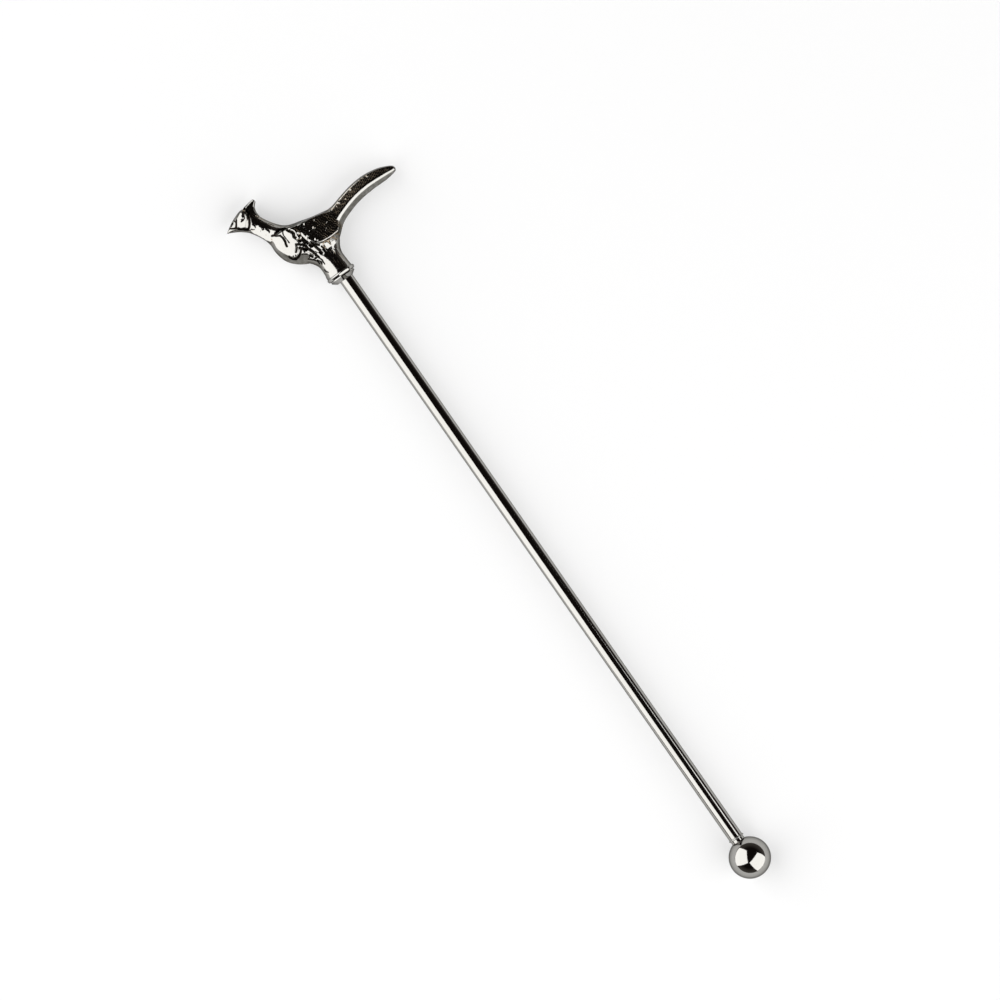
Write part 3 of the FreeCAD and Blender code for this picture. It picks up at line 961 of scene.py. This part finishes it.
def makeMarkTarnishAndShade():
    # How far a carved mark shows, patchy rather than even: tarnish for the hollows, painted shade for the
    # creases and rims
    group, given, result = startGroup("markTarnishAndShade", {"Mark": 0.0, "Scale": 900.0}, ("Mask",))
    noise = addNoise(group, given, detail=2)
    patch = group.nodes.new("ShaderNodeMapRange")
    patch.inputs["From Min"].default_value = 0.3
    patch.inputs["From Max"].default_value = 0.6
    patch.inputs["To Min"].default_value = 0.6
    group.links.new(noise.outputs["Fac"], patch.inputs["Value"])
    broken = group.nodes.new("ShaderNodeMath")
    broken.operation = "MULTIPLY"
    broken.use_clamp = True
    group.links.new(given.outputs["Mark"], broken.inputs[0])
    group.links.new(patch.outputs["Result"], broken.inputs[1])
    group.links.new(broken.outputs["Value"], result.inputs["Mask"])
    return group


def useGroup(tree, group, **values):
    node = tree.nodes.new("ShaderNodeGroup")
    node.node_tree = group
    for label, value in values.items():
        node.inputs[label].default_value = value
    return node


def mixColours(tree, factor, first, second):
    # Two colours, each a value or an output, mixed by a mask
    mix = tree.nodes.new("ShaderNodeMix")
    mix.data_type = "RGBA"
    tree.links.new(factor, mix.inputs["Factor"])
    for label, colour in (("A", first), ("B", second)):
        if isinstance(colour, tuple):
            mix.inputs[label].default_value = colour
        else:
            tree.links.new(colour, mix.inputs[label])
    return mix.outputs["Result"]


def roughnessFrom(tree, mask, low, high):
    spread = tree.nodes.new("ShaderNodeMapRange")
    spread.inputs["To Min"].default_value = low
    spread.inputs["To Max"].default_value = high
    tree.links.new(mask, spread.inputs["Value"])
    return spread.outputs["Result"]


def spreadMask(tree, mask, low, high):
    # The mask stretched so that low becomes none and high becomes full
    spread = tree.nodes.new("ShaderNodeMapRange")
    spread.inputs["From Min"].default_value = low
    spread.inputs["From Max"].default_value = high
    tree.links.new(mask, spread.inputs["Value"])
    return spread.outputs["Result"]


def largerOf(tree, first, second):
    larger = tree.nodes.new("ShaderNodeMath")
    larger.operation = "MAXIMUM"
    tree.links.new(first, larger.inputs[0])
    tree.links.new(second, larger.inputs[1])
    return larger.outputs["Value"]


def startMetal(name, setting):
    material = bpy.data.materials.new(name)
    material.use_nodes = True
    shader = material.node_tree.nodes["Principled BSDF"]
    shader.inputs["Metallic"].default_value = 1
    shader.inputs["Specular Tint"].default_value = setting["edgeTint"]
    return material, material.node_tree, shader


def markOf(tree, group, name, scale):
    # One of the bird's own carved marks, broken up by the group for tarnish and painted shade
    mark = tree.nodes.new("ShaderNodeAttribute")
    mark.attribute_name = name
    node = useGroup(tree, group, Scale=scale)
    tree.links.new(mark.outputs["Fac"], node.inputs["Mark"])
    return node.outputs["Mask"]


def makeCastPlating(setting, grain, smudges, tarnishAndShade):
    material, tree, shader = startMetal("castPlating", setting)
    pitted = useGroup(tree, grain, Scale=setting["grainScale"], Depth=setting["grainDepth"])
    handled = useGroup(tree, smudges, Scale=setting["smudgeScale"], Amount=setting["castSmudges"])
    hollow = markOf(tree, tarnishAndShade, "hollow", setting["tarnishAndShadeScale"])
    crease = markOf(tree, tarnishAndShade, "crease", setting["tarnishAndShadeScale"])
    shade = markOf(tree, tarnishAndShade, "shade", setting["tarnishAndShadeScale"])
    bright = mixColours(tree, handled.outputs["Mask"], setting["colour"], setting["worn"])
    # Painted shade: the rims and underside take a darker colour
    shaded = mixColours(tree, shade, bright, setting["shaded"])
    browned = mixColours(tree, spreadMask(tree, hollow, *setting["brownBetween"]), shaded, setting["brown"])
    # Painted shade: the creases are darkened nearly to black
    inCreases = spreadMask(tree, crease, *setting["blackBetween"])
    blackened = mixColours(tree, inCreases, browned, setting["black"])
    tree.links.new(blackened, shader.inputs["Base Color"])
    inHollows = spreadMask(tree, hollow, *setting["dullBetween"])
    inPits = spreadMask(tree, pitted.outputs["Mask"], *setting["pitsBetween"])
    roughness = roughnessFrom(tree, largerOf(tree, inHollows, inPits), *setting["castRoughness"])
    tree.links.new(roughness, shader.inputs["Roughness"])
    tree.links.new(pitted.outputs["Normal"], shader.inputs["Normal"])
    return material


def makeBarPlating(setting, lines, smudges):
    material, tree, shader = startMetal("barPlating", setting)
    drawn = useGroup(tree, lines, Scale=setting["lineScale"], Depth=setting["lineDepth"])
    handled = useGroup(tree, smudges, Scale=setting["smudgeScale"], Amount=setting["barSmudges"])
    tree.links.new(mixColours(tree, handled.outputs["Mask"], setting["colour"], setting["worn"]),
                   shader.inputs["Base Color"])
    dullness = largerOf(tree, drawn.outputs["Mask"], handled.outputs["Mask"])
    roughness = roughnessFrom(tree, dullness, *setting["barRoughness"])
    tree.links.new(roughness, shader.inputs["Roughness"])
    tree.links.new(drawn.outputs["Normal"], shader.inputs["Normal"])
    return material


def coverWith(piece, material):
    piece.data.materials.clear()
    piece.data.materials.append(material)


smudges = makeSmudges()
castPlating = makeCastPlating(platingSettings, makeCastingGrain(), smudges, makeMarkTarnishAndShade())
barPlating = makeBarPlating(platingSettings, makePolishLines(), smudges)
coverWith(pheasant, castPlating)
for piece in (collar, rod, ball):
    coverWith(piece, barPlating)
print("plating applied")


# Studio: two softboxes over a pale table, in a dark room. Places and directions are as the picture shows
# them: right, up and towards the camera, in metres from the ball.

studioSettings = {
    "softboxes": {             # place, direction across, direction upright, size
        "leftSoftbox": ((-0.804, 0.299, 0.688), (0.492, 0.015, 0.87), (-0.162, 0.984, 0.075), (1.46, 1.90)),
        "rightSoftbox": ((0.896, -0.251, 0.587), (0.637, 0.77, -0.035), (-0.526, 0.468, 0.71), (1.73, 1.55)),
    },
    "brightness": 2.4,
    "tableSide": 6,
    "tableColour": (0.83, 0.83, 0.83, 1),
    "tableRoughness": 0.9,
    "tableShine": 0.1,
    "tableWhite": 0.45,        # how far the table is seen as plain white, which keeps its shadow light
    "roomTop": (0.010, 0.008, 0.007, 1),
    "roomFoot": (0.11, 0.10, 0.09, 1),
    "roomRise": 0.55,          # how high the room reaches its darkest
}


def addSoftbox(name, place, across, upright, size, brightness):
    across = Vector(across).normalized()
    facing = across.cross(Vector(upright)).normalized()
    turn = Matrix((across, facing.cross(across), facing)).transposed()
    bpy.ops.object.light_add(type="AREA", location=ballMiddle + photoTurn @ Vector(place))
    lamp = bpy.context.object
    lamp.name = name
    lamp.rotation_euler = (photoTurn @ turn).to_euler()
    lamp.data.shape = "RECTANGLE"
    lamp.data.size, lamp.data.size_y = size
    lamp.data.energy = brightness * pi * size[0] * size[1]


def whitenSeen(tree, shader, amount):
    # Mixed with plain white where the camera sees it, directly or in the metal, and nowhere else
    path = tree.nodes.new("ShaderNodeLightPath")
    mirrored = largerOf(tree, path.outputs["Is Glossy Ray"], path.outputs["Is Transmission Ray"])
    seen = largerOf(tree, path.outputs["Is Camera Ray"], mirrored)
    share = tree.nodes.new("ShaderNodeMath")
    share.operation = "MULTIPLY"
    share.inputs[1].default_value = amount
    tree.links.new(seen, share.inputs[0])
    white = tree.nodes.new("ShaderNodeEmission")
    mix = tree.nodes.new("ShaderNodeMixShader")
    tree.links.new(share.outputs["Value"], mix.inputs["Fac"])
    tree.links.new(shader.outputs["BSDF"], mix.inputs[1])
    tree.links.new(white.outputs["Emission"], mix.inputs[2])
    tree.links.new(mix.outputs["Shader"], tree.nodes["Material Output"].inputs["Surface"])


def makeTable(setting):
    clearSelection()
    bpy.ops.mesh.primitive_plane_add(size=setting["tableSide"])
    table = bpy.context.object
    table.name = "table"
    material = bpy.data.materials.new("paleTable")
    material.use_nodes = True
    shader = material.node_tree.nodes["Principled BSDF"]
    shader.inputs["Base Color"].default_value = setting["tableColour"]
    shader.inputs["Roughness"].default_value = setting["tableRoughness"]
    shader.inputs["Specular IOR Level"].default_value = setting["tableShine"]
    whitenSeen(material.node_tree, shader, setting["tableWhite"])
    table.data.materials.append(material)


def makeRoom(setting):
    world = bpy.data.worlds.new("room")
    world.use_nodes = True
    tree = world.node_tree
    places = tree.nodes.new("ShaderNodeTexCoord")
    split = tree.nodes.new("ShaderNodeSeparateXYZ")
    ramp = tree.nodes.new("ShaderNodeValToRGB")
    ramp.color_ramp.elements[0].color = setting["roomFoot"]
    ramp.color_ramp.elements[1].color = setting["roomTop"]
    ramp.color_ramp.elements[1].position = setting["roomRise"]
    tree.links.new(places.outputs["Generated"], split.inputs["Vector"])
    tree.links.new(split.outputs["Z"], ramp.inputs["Fac"])
    tree.links.new(ramp.outputs["Color"], tree.nodes["Background"].inputs["Color"])
    bpy.context.scene.world = world


for name, (place, across, upright, size) in studioSettings["softboxes"].items():
    addSoftbox(name, place, across, upright, size, studioSettings["brightness"])
makeTable(studioSettings)
makeRoom(studioSettings)
bpy.context.scene.view_settings.view_transform = "Standard"
print("studio lit")
